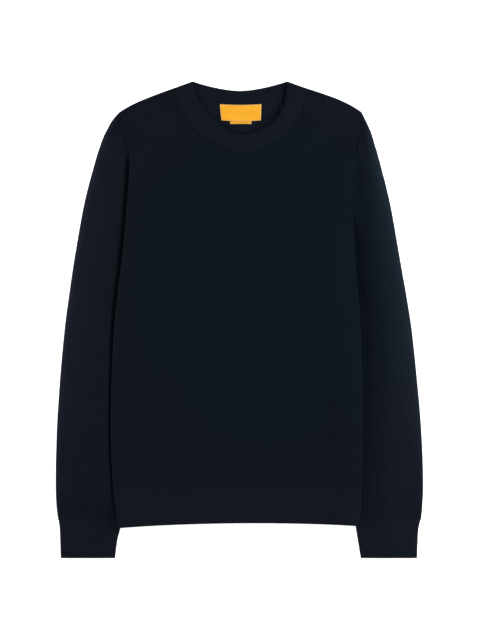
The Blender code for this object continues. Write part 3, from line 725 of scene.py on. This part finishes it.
# Sleeves and cuffs
sleeve = {
    "underarmY": 86.0,
    "cuffSeam": -314.0,
    "cuffFoot": -374.3,
    "crown": {-1: 8.0, 1: 8.5},  # rise of the upper layer at its crest
    "crownSpan": {-1: 50.0, 1: 36.0},  # less where the sleeve shows narrower than this
    "spanPower": {-1: 1.0, 1: 1.6},
    "crest": {-1: 0.4, 1: 0.5},  # its place from the body edge (0) to the outer fold (1)
    "innerDrop": {-1: 0.5, 1: 1.0},  # share of the crown lost at the body edge
    "innerPower": {-1: 1.0, 1: 2.1},  # keeps it low for longer
    "outerShare": {-1: 0.2, 1: 0.0},  # share of the crown left at the outer fold
    "ribHeight": {-1: 0.33, 1: 0.24},
    "crownBlend": {-1: 45.0, 1: 240.0},  # fades to the cuff's crown over this length
    "outerRound": {-1: 9.5, 1: 11.0},
    # Up to its height this far from the body edge, low down and high up
    "besideBody": {-1: (6.0, 16.0), 1: (3.0, 3.0)},
    "besideFrom": -140.0,  # high up from here, over this length
    "besideFade": 240.0,
    "underBody": {-1: 0.0, 1: 0.5},  # fills the slit under the body edge
    "atArmhole": {-1: 4.0, 1: 5.8},  # the same where the sleeve is sewn on
    "armholeFrom": 236.0,  # on the right that is from here up, over this length
    "armholeFade": 30.0,
    "fillFrom": -8.0,  # the filling starts here, measured out from the body edge
    "fillFade": 6.0,
    "foldAtArmhole": 0.95,  # share of its height that a sewn fold keeps on the left
    "sewnFade": 16.0,
    "seamLift": (2.4, 5.4),  # rise of the sewn fold, from the shoulder to the upper arm
    "liftSpan": (250, 16, 326, 12),
    "liftReach": 2.5,
    "liftLoss": 0.8,  # share of it lost away from the fold
    "innerGap": 0.2,  # further in than the wall, between the two rings
    "innerLip": 0.9,
    "softness": 0.12,
    "cuffCrown": 1.8,
    "rows": 112,
    "plainColumns": 40,
}
sleeveCreases = {
    -1: [(-222, 262, -196, 236, 7, 0.7), (-240, 190, -196, 172, 8, 0.5), (-262, 60, -214, 40, 11, 0.5),
         (-232, 120, -214, 20, 10, 0.4), (-262, -60, -236, -170, 12, 0.4), (-270, -200, -222, -216, 9, 0.4)],
    1: [armholeTrough,
        (196, 300, 214, 268, 7, 0.8), (192, 262, 214, 236, 7, 0.8), (196, 214, 226, 186, 8, 0.6),
        (204, 150, 240, 128, 9, 0.5), (232, 60, 208, -30, 11, 0.4), (222, -120, 262, -150, 12, 0.4),
        (212, -230, 262, -222, 9, 0.4)],
}
# Half widths down the cuffs: y, outer fold, inner fold
outerColumn, innerColumn = 1, 2
cuffRows = {
    -1: np.array([(-314, 284.0, 185.9), (-327, 282.3, 187.0), (-345, 281.5, 191.4), (-375, 280.6, 195.4)]),
    1: np.array([(-314, 284.4, 181.0), (-327, 281.4, 182.9), (-345, 280.1, 185.7), (-375, 278.8, 190.7)]),
}


# A flattened tube from its cut: foldX(q, y) is the half width at q, from the outer to the inner fold
def flatTube(name, side, cut, creases, material, node, rows):
    width, foldX, lowY, topOf, crownAt = [cut[key] for key in ("width", "foldX", "lowY", "topOf", "crownAt")]
    rolled = cut["rolled"]
    ribs = round(width / knit["ribPitch"])
    inset = knit["wall"] + sleeve["innerGap"]

    def grid(qs, inside, height):
        top = topOf(qs)
        y = spread(np.full(len(qs), lowY), top, rows)
        q = qs[:, None]
        x = foldX(q, y)
        distance = np.minimum(q, 1 - q) * abs(foldX(0, y) - foldX(1, y)) - (inset if inside else 0)
        sewn = smoothStep((y - body["climbFull"] + sleeve["sewnFade"]) / sleeve["sewnFade"])
        innerRound = knit["roundWidth"] + (knit["sewnRound"] - knit["roundWidth"]) * sewn
        z = height({"x": x, "y": y, "phase": q * ribs, "fromLow": y - lowY, "fromTop": top[:, None] - y,
                    "fold": roundOver(distance, np.where(q < 0.5, sleeve["outerRound"][side], innerRound))})
        points = np.stack([side * x, y, z], axis=-1)
        made = gridOf(points, qs if side < 0 else 1 - qs, q * ribs, y / knit["course"])
        return made if side < 0 else {key: value[::-1] for key, value in made.items()}

    # Raises the fold that is sewn to the body, so that the seam stays shallow
    def lift(at, fold=0.0):
        beside = np.maximum(at["x"] - through(sides[side], bodyColumn, at["y"]), 0)
        low, high = sleeve["seamLift"]
        raised = (low + (high - low) * climbShare(at["y"])) * np.exp(-beside / sleeve["liftReach"])
        return raised * shownBetween(at["y"], sleeve["liftSpan"]) * (1 - sleeve["liftLoss"] * fold)

    def outerTop(at):
        x, y = at["x"], at["y"]
        fade = seamFade(at["fromLow"], at["fromTop"])
        uneven = relief(creases, side * x, y) + softness(side * x, y, sleeve["softness"])
        besideBody = abs(x - through(sides[side], bodyColumn, y)) < knit["roundWidth"]
        fold = np.maximum(at["fold"], sleeve["foldAtArmhole"] * softArmhole(side * x, y) * besideBody)
        ribs = ribProfile(at["phase"]) * sleeve["ribHeight"][side]
        full = layerMid - frontUnder + knit["gap"] + knit["wall"] + crownAt(x, y) + (ribs + uneven) * fade
        dip = seamDip(at["fromTop"]) + (rollDip if rolled else seamDip)(at["fromLow"])
        return layerMid + (full - dip) * fold + lift(at, fold)

    def outerFoot(at):
        rise = lipRise(at["fromLow"]) * at["fold"] if rolled else 0
        return layerMid * (1 - at["fold"]) + rise + lift(at)

    def innerTop(at):
        return layerMid + (knit["gap"] / 2 + crownAt(at["x"], at["y"])) * at["fold"] + lift(at, at["fold"])

    def innerFoot(at):
        opened = sleeve["innerLip"] * lipRise(at["fromLow"]) if rolled else 0
        return layerMid - (knit["gap"] / 2 + opened) * at["fold"] + lift(at, at["fold"])

    near = foldSteps / width
    plain = np.linspace(0, 1, sleeve["plainColumns"])
    outerQs = np.unique(np.round(np.concatenate([plain, near, 1 - near]), 6))
    fineQs = np.unique(np.round(np.concatenate([ribPlaces(ribs), near, 1 - near]), 6))
    innerQs = inset / width + outerQs * (1 - 2 * inset / width)
    return tubePiece(name, (grid(fineQs, False, outerTop), grid(outerQs, False, outerFoot)),
                     (grid(innerQs, True, innerTop), grid(innerQs, True, innerFoot)), material, node)


def cuffBulge(place):
    return sleeve["cuffCrown"] * np.sin(math.pi * place) ** 2


def makeSleeve(side, name, node):
    rows = sides[side]

    def innerX(y):
        return through(rows, bodyColumn, y) - through(rows, tuckColumn, y)

    width = float(through(rows, sleeveColumn, sleeve["underarmY"]) - innerX(sleeve["underarmY"]))

    def foldX(q, y):
        outer = through(rows, sleeveColumn, y)
        return outer - q * np.where(y < sleeve["underarmY"], outer - innerX(y), width)

    def topOf(qs):
        return crossing(lambda y: foldX(qs, y) - innerX(y), sleeve["underarmY"], body["shoulderY"], len(qs))

    def crownAt(x, y):
        outer = through(rows, sleeveColumn, y)
        beside = x - through(rows, bodyColumn, y)
        shown = np.maximum(outer - through(rows, bodyColumn, y), 1)
        place, crest = np.clip(beside / shown, 0, 1), sleeve["crest"][side]
        cuffPlace = np.clip((outer - x) / (outer - innerX(y)), 0, 1)
        soft = softArmhole(side, y)
        if side < 0:
            soft = smoothStep((y - sleeve["armholeFrom"]) / sleeve["armholeFade"])
        narrowed = np.minimum(shown / sleeve["crownSpan"][side], 1) ** sleeve["spanPower"][side]
        high = sleeve["crown"][side] * narrowed
        risen = np.sin(math.pi / 2 * np.minimum(place / crest, 1)) ** sleeve["innerPower"][side]
        inner = 1 - sleeve["innerDrop"][side] * (1 - risen)
        outward = 1 - (1 - sleeve["outerShare"][side]) * ((place - crest) / (1 - crest)) ** 2
        filled = sleeve["underBody"][side] * (1 - soft) + sleeve["atArmhole"][side] * soft
        filled = filled * climbShare(y) * smoothStep((beside - sleeve["fillFrom"]) / sleeve["fillFade"])
        narrow, wide = sleeve["besideBody"][side]
        reach = narrow + (wide - narrow) * smoothStep((y - sleeve["besideFrom"]) / sleeve["besideFade"])
        inner = inner * np.sin(math.pi / 2 * np.clip(beside / reach, 0, 1))
        whole = np.where(place < crest, filled + (high - filled) * inner, high * outward)
        blend = smoothStep((y - sleeve["cuffSeam"]) / sleeve["crownBlend"][side])
        return blend * whole + (1 - blend) * cuffBulge(cuffPlace)

    cut = {"width": width, "foldX": foldX, "lowY": sleeve["cuffSeam"] - knit["seam"], "topOf": topOf,
           "crownAt": crownAt, "rolled": False}
    return flatTube(name, side, cut, sleeveCreases[side], sleeveKnit, node, sleeve["rows"])


def makeCuff(side, name, node):
    rows = cuffRows[side]

    def foldX(q, y):
        outer = through(rows, outerColumn, y)
        return outer - q * (outer - through(rows, innerColumn, y))

    def topOf(qs):
        return np.full(len(qs), sleeve["cuffSeam"])

    def crownAt(x, y):
        return cuffBulge(np.clip((foldX(0, y) - x) / (foldX(0, y) - foldX(1, y)), 0, 1))

    width = float(foldX(0, sleeve["cuffSeam"]) - foldX(1, sleeve["cuffSeam"]))
    cut = {"width": width, "foldX": foldX, "lowY": sleeve["cuffFoot"], "topOf": topOf, "crownAt": crownAt,
           "rolled": True}
    return flatTube(name, side, cut, [], trimKnit, node, knit["bandRows"])


sleeves = [makeSleeve(-1, "sleeveRightKnit", "sleeve_right"), makeSleeve(1, "sleeveLeftKnit", "sleeve_left")]
cuffs = [makeCuff(-1, "cuffRightRib", "cuff_right"), makeCuff(1, "cuffLeftRib", "cuff_left")]
print("sleeves made")


# Neckband: a ring whose front half lies on its back half and shares its folds at the shoulders
band = {
    "wall": 2.4,
    "rib": 0.45,
    "rise": {-1: 2.0, 1: 2.6},
    "riseReach": 60.0,
    "edgeRound": 2.4,
    "rollRound": 9.0,
    "edgeLip": 0.3,
    "length": 28.0,
    "hidden": 26.0,  # stretch of the back half under the front half, without ribs
    "risePower": 1.5,
    "ribFade": 1.4,
    "ribFadeStart": 0.2,
    "backSeamShare": 0.6,
    "samples": 1201,
}
bandMid = band["wall"] + knit["gap"] / 2
acrossSteps = np.array([0, 0.006, 0.018, 0.036, 0.06, 0.1, 0.17, 0.26, 0.36, 0.46, 0.56, 0.66, 0.76,
                        0.84, 0.9, 0.935, 0.96, 0.978, 0.99, 0.997, 1.0])


def frontCurve(angle, half, drop, topY, powers):
    cosine = np.cos(angle)
    exponent = 2 / np.where(cosine > 0, powers[-1], powers[1])
    x = -np.sign(cosine) * abs(cosine) ** exponent * half
    return np.stack([neck["x"] + x, topY - drop * np.maximum(np.sin(angle), 0) ** exponent], axis=-1)


def backCurve(angle, half, dip, topY, power):
    across = -np.cos(angle)
    return np.stack([neck["x"] + across * half, topY - dip * (1 - abs(across) ** power)], axis=-1)


def frontLines(angle):
    return (frontCurve(angle, neck["seamHalf"], neck["seamDrop"], neck["seamTopY"], neck["seamPower"]),
            frontCurve(angle, neck["half"], neck["drop"], neck["topY"], neck["power"]))


def backLines(angle):
    return (backCurve(angle, neck["seamHalf"], neck["backSeamDip"], neck["seamTopY"], neck["backSeamPower"]),
            backCurve(angle, neck["half"], neck["backDip"], neck["topY"], neck["backPower"]))


# Angles that stand at even steps along the middle of a half of the band
def bandRun(lines):
    angles = np.linspace(0, math.pi, band["samples"])
    seam, free = lines(angles)
    middle = (seam + free) / 2
    lengths = np.concatenate([[0], np.cumsum(np.hypot(*np.diff(middle, axis=0).T))])
    return {"lines": lines, "angles": angles, "lengths": lengths, "length": float(lengths[-1])}


def bandGrid(run, places, inset, height, dip=None):
    distance = inset + places * (run["length"] - 2 * inset)
    seam, free = run["lines"](np.interp(distance, run["lengths"], run["angles"]))
    across = acrossSteps[None, :]
    flat = seam[:, None, :] + (free - seam)[:, None, :] * across[..., None]
    fromFold = np.minimum(distance, run["length"] - distance)[:, None] - inset
    phase = places[:, None] * round(run["length"] / knit["ribPitch"])
    z = height(places[:, None], distance[:, None], across, phase, roundOver(fromFold, knit["roundWidth"]))
    if dip:
        z = z - dip(flat[..., 0], flat[..., 1])
    points = np.concatenate([flat, z[..., None]], axis=-1)
    return gridOf(points, places, phase, across * band["length"] / knit["course"] + 0 * phase)


def makeNeckband():
    runFront, runBack = bandRun(frontLines), bandRun(backLines)

    def rise(place, distance, across):
        high = band["rise"][-1] + (band["rise"][1] - band["rise"][-1]) * smoothStep(place)
        fromFold = np.minimum(distance, runFront["length"] - distance)
        return high * smoothStep(fromFold / band["riseReach"]) * across ** band["risePower"]

    def edge(across, width=band["rollRound"]):
        return np.maximum(roundOver((1 - across) * band["length"], width), band["edgeLip"])

    def ribAt(phase, across):
        fade = smoothStep(across * band["length"] / band["ribFade"] + band["ribFadeStart"])
        return ribProfile(phase) * band["rib"] * fade * edge(across)

    def frontTopZ(place, distance, across, phase, fold):
        full = (band["wall"] + knit["gap"]) / 2 + band["wall"] / 2 * edge(across) + ribAt(phase, across)
        return bandMid + rise(place, distance, across) + (full - seamDip(across * band["length"])) * fold

    def frontFootZ(place, distance, across, phase, fold):
        low = knit["gap"] / 2 + band["wall"] / 2 * (1 - edge(across, band["edgeRound"]))
        return bandMid + rise(place, distance, across) + low * fold

    def backTopZ(place, distance, across, phase, fold):
        fromFold = np.minimum(distance, runBack["length"] - distance)
        shown = smoothStep((fromFold - band["hidden"]) / band["hidden"])
        full = (-knit["gap"] / 2 + shown * ribAt(phase, across) - band["wall"] / 2 * (1 - edge(across))
                - band["backSeamShare"] * seamDip(across * band["length"]))
        return bandMid + full * fold

    def backFootZ(place, distance, across, phase, fold):
        under = band["wall"] / 2 * (1 - edge(across, band["edgeRound"]))
        return bandMid - (bandMid - under) * fold

    def placesOf(run, fine):
        near = foldSteps[:6] / run["length"]
        ribs = round(run["length"] / knit["ribPitch"])
        inside = ribPlaces(ribs) if fine else np.linspace(0, 1, ribs + 1)
        return np.unique(np.round(np.concatenate([inside, near, 1 - near]), 7))

    outerFront = bandGrid(runFront, placesOf(runFront, True), 0, frontTopZ)
    outerBack = bandGrid(runBack, placesOf(runBack, False), 0, backFootZ)
    innerFront = bandGrid(runFront, placesOf(runFront, False), band["wall"], frontFootZ)
    innerBack = bandGrid(runBack, placesOf(runBack, True), band["wall"], backTopZ, neckCrease)
    for end in (0, -1):
        innerFront["points"][end] = innerBack["points"][end]
    return tubePiece("neckbandRib", (outerFront, outerBack), (innerFront, innerBack),
                     trimKnit, "neckband")


neckband = makeNeckband()
print("neckband made")


# Label and size tab, left blank
label = {
    "left": -30.5, "right": 34.4, "topY": 338.7, "height": 25.7,
    "bow": 1.2,  # its middle hangs this far below its corners
    "taper": (2.4, 1.0),  # its left and right corners are drawn in at the foot
    "taperPower": 1.6,
    "lift": 0.35,  # rise of its lower corners
    "liftMiddle": 0.4,  # share of that in the middle
    "under": 3.5, "thick": 0.8, "border": 1.6,
}
tab = {"left": -14.6, "right": 18.8, "footY": 307.4, "tuck": 5.0, "under": 2.3, "thick": 0.6, "border": 1.0}
tape = {"edgeRound": 0.6, "edgeLip": 0.3, "borderFade": 0.3, "threadPitch": 0.45, "steps": 64, "rises": 26}


# A thin woven plate with rounded edges; u runs across it and v up it
def wovenPlate(name, cut, topAt, footAt, narrowing, lift, node):
    acrossPlaces = np.linspace(0, 1, tape["steps"] + 1)
    u, v = acrossPlaces[:, None], np.linspace(0, 1, tape["rises"] + 1)[None, :]
    centre, half = (cut["left"] + cut["right"]) / 2, (cut["right"] - cut["left"]) / 2
    left, right = narrowing(v)
    x = centre + (2 * u - 1) * half + left * (1 - u) - right * u
    y = footAt(u) + v * (topAt(u) - footAt(u))
    inward = np.minimum(np.minimum(u, 1 - u) * 2 * half, np.minimum(v, 1 - v) * (topAt(0.5) - footAt(0.5)))
    edge = smoothStep((cut["border"] - inward) / tape["borderFade"])
    stitch = np.stack([x / tape["threadPitch"], y / tape["threadPitch"], edge + 0 * x], axis=-1)
    thick = cut["thick"] * (tape["edgeLip"] + (1 - tape["edgeLip"]) * roundOver(inward, tape["edgeRound"]))
    upper, lower = [{"points": np.stack([x, y, cut["under"] + rise + lift(u, v) + 0 * x], axis=-1),
                     "stitch": stitch, "places": acrossPlaces} for rise in (thick, 0.0)]
    return sheetPiece(name, upper, lower, labelCloth, node, "label")


def labelTop(u):
    return label["topY"] - label["bow"] * (1 - (2 * u - 1) ** 2)


def labelLift(u, v):
    middle = label["liftMiddle"]
    return label["lift"] * (1 - v) ** 2 * (middle + (1 - middle) * abs(2 * u - 1))


labelPiece = wovenPlate(
    "neckLabelBlank", label, labelTop, lambda u: labelTop(u) - label["height"],
    lambda v: [side * (1 - v) ** label["taperPower"] for side in label["taper"]], labelLift, "neck_label")
tabTop = label["topY"] - label["height"] - label["bow"] + tab["tuck"]
tabPiece = wovenPlate(
    "sizeTabBlank", tab, lambda u: tabTop + 0 * u, lambda u: tab["footY"] + 0 * u,
    lambda v: (0 * v, 0 * v), lambda u, v: 0 * u * v, "size_tab")
print("label made")


# Floor, light and camera
studio = {
    "view": (0.0009, -0.0004, 0.004),
    "viewHeight": 1.0048,  # metres of the garment from top to bottom of the frame
    "distance": 6.0,
    "world": 0.12,
    "keyRight": {"energy": 37.5, "from": (1.05, 0.18, 0.13), "size": (0.25, 0.8), "color": (0.88, 0.97, 1.0)},
    "fillLeft": {"energy": 28, "from": (-1.05, 0.18, 0.12), "size": (0.25, 0.8), "color": (0.96, 0.94, 0.98)},
    "stripTop": {"energy": 12, "from": (0.0, 1.4, 0.2), "size": (0.25, 1.2), "color": (0.97, 0.97, 1.0)},
    "stripFoot": {"energy": 16, "from": (0.0, -1.3, 0.2), "size": (0.25, 1.2), "color": (1.0, 0.97, 0.97)},
    # Lit from below, as for a cut-out
    "floorPaint": {"Base Color": (0.93, 0.93, 0.93, 1), "Roughness": 0.95, "Specular IOR Level": 0.0,
                   "Emission Color": (1, 1, 1, 1), "Emission Strength": 0.7},
    "floorZ": -0.0002,
    "floorReach": 9.0,
    "sensor": 36.0,
    "clip": 60,
}


def makeFloor():
    mesh = bpy.data.meshes.new("paleFloor")
    reach, z = studio["floorReach"], studio["floorZ"]
    corners = [(-reach, -reach, z), (reach, -reach, z), (reach, reach, z), (-reach, reach, z)]
    mesh.from_pydata(corners, [], [(0, 1, 2, 3)])
    material, tree, shader = newMaterial("paleFloorPaint")
    feed(tree, shader, studio["floorPaint"])
    mesh.materials.append(material)
    floor = newObject("paleFloor", mesh)


def makeLight(name, settings):
    lamp = bpy.data.lights.new(name, "AREA")
    lamp.shape = "RECTANGLE"
    lamp.size, lamp.size_y = settings["size"]
    lamp.energy, lamp.color = settings["energy"], settings["color"]
    light = newObject(name, lamp)
    light.location = settings["from"]
    light.visible_camera = False
    x, y, z = settings["from"]
    light.rotation_euler = (math.atan2(math.hypot(x, y), z), 0, math.atan2(y, x) + math.pi / 2)


def makeCamera():
    camera = bpy.data.cameras.new("overheadCamera")
    camera.sensor_fit = "AUTO"
    camera.sensor_width = studio["sensor"]
    camera.lens = studio["sensor"] * studio["distance"] / studio["viewHeight"]
    camera.clip_end = studio["clip"]
    view = newObject("overheadCamera", camera)
    x, y, z = studio["view"]
    view.location = (x, y, z + studio["distance"])
    bpy.context.scene.camera = view


makeFloor()
world = bpy.data.worlds.new("softStudio")
world.use_nodes = True
world.node_tree.nodes["Background"].inputs["Color"].default_value = (1, 1, 1, 1)
world.node_tree.nodes["Background"].inputs["Strength"].default_value = studio["world"]
bpy.context.scene.world = world
for name in ("keyRight", "fillLeft", "stripTop", "stripFoot"):
    makeLight(name, studio[name])
makeCamera()
bpy.context.scene.view_settings.view_transform = "Standard"
print("stage set")
